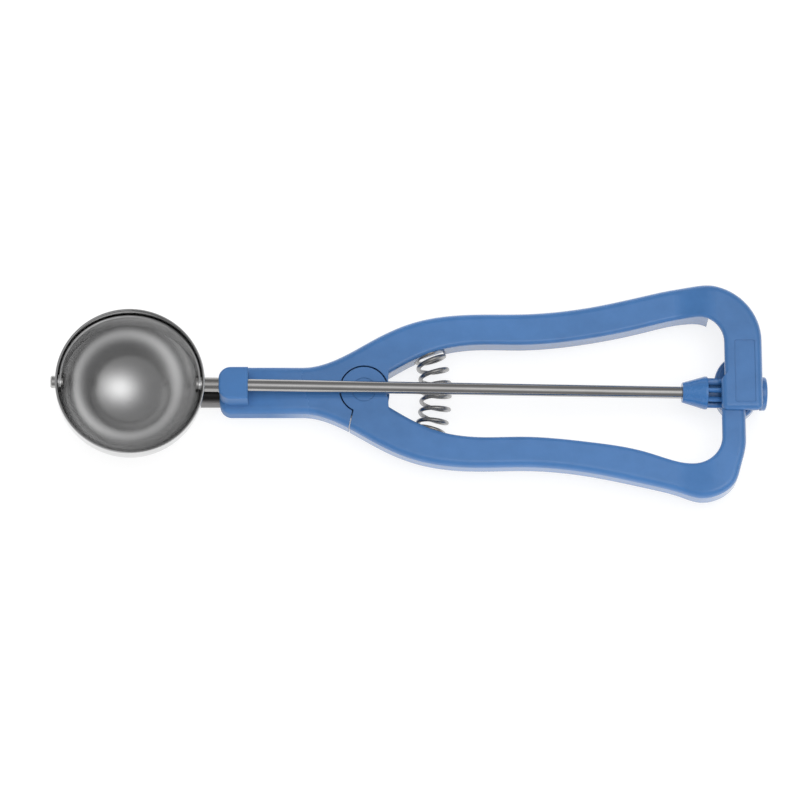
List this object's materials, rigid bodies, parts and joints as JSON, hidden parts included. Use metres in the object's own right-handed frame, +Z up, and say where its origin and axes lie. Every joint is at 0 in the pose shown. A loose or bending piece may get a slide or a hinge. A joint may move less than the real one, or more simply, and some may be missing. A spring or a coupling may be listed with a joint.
{
  "type": "lever ice cream scoop",
  "caption": "Squeeze-handle ice cream disher: a spun steel bowl, a wiper blade on a long rod, and a spring lever whose rack turns the rod's pinion.",
  "frame": {"origin": "centre of the bounding box in plan, at the bottom of the bowl, with the lever at rest", "axes": "+X from the bowl to the handle's heel, +Y towards the fixed upper grip, +Z up, out of the open bowl"},
  "size_m": [0.2775, 0.0849, 0.0347],
  "materials": {
    "handle_plastic": "moulded blue plastic with a soft satin surface",
    "cover_plastic": "moulded blue plastic, a shade deeper",
    "gear_plastic": "moulded blue plastic, smooth",
    "bush_plastic": "plain off-white bearing plastic",
    "bowl_steel": "polished stainless steel",
    "blade_steel": "bright rolled stainless strip",
    "rod_steel": "drawn stainless rod",
    "tube_steel": "drawn stainless tube",
    "pin_steel": "turned stainless steel",
    "spring_wire": "drawn spring wire"
  },
  "bodies": {
    "frame": {"frame_handle": "handle_plastic", "gear_cover": "cover_plastic", "bowl": "bowl_steel", "bowl_shank": "tube_steel", "shank_lock_pin": "pin_steel", "bearing_sleeve": "tube_steel", "rod_bush": "bush_plastic", "far_pivot_pin": "pin_steel", "pivot_pin": "gear_plastic", "pivot_retainer": "pin_steel", "return_spring": "spring_wire"},
    "lever": {"squeeze_lever": "handle_plastic", "hub_bush": "bush_plastic"},
    "wiper": {"wiper_rod": "rod_steel", "wiper_blade": "blade_steel", "near_washer": "blade_steel", "far_washer": "blade_steel", "pinion_gear": "gear_plastic", "end_cap": "cover_plastic", "cap_screw": "pin_steel"}
  },
  "joints": [
    {"name": "lever_squeeze", "type": "hinge", "parent": "frame", "child": "lever", "pos_m": [-0.01798, 0, 0.01401], "axis": [0, 0, 1], "range_deg": [0, 5.62], "stiffness_Nm_per_rad": 6.6, "springref_deg": -8.59, "deforming": ["return_spring"]},
    {"name": "wiper_spin", "type": "hinge", "parent": "frame", "child": "wiper", "pos_m": [-0.01798, 0, 0.02281], "axis": [0.9978, 0, -0.0663], "range_deg": [-161.1, 0]}
  ],
  "couplings": [
    {"joint": "wiper_spin", "follows": "lever_squeeze", "ratio": -28.65}
  ]
}
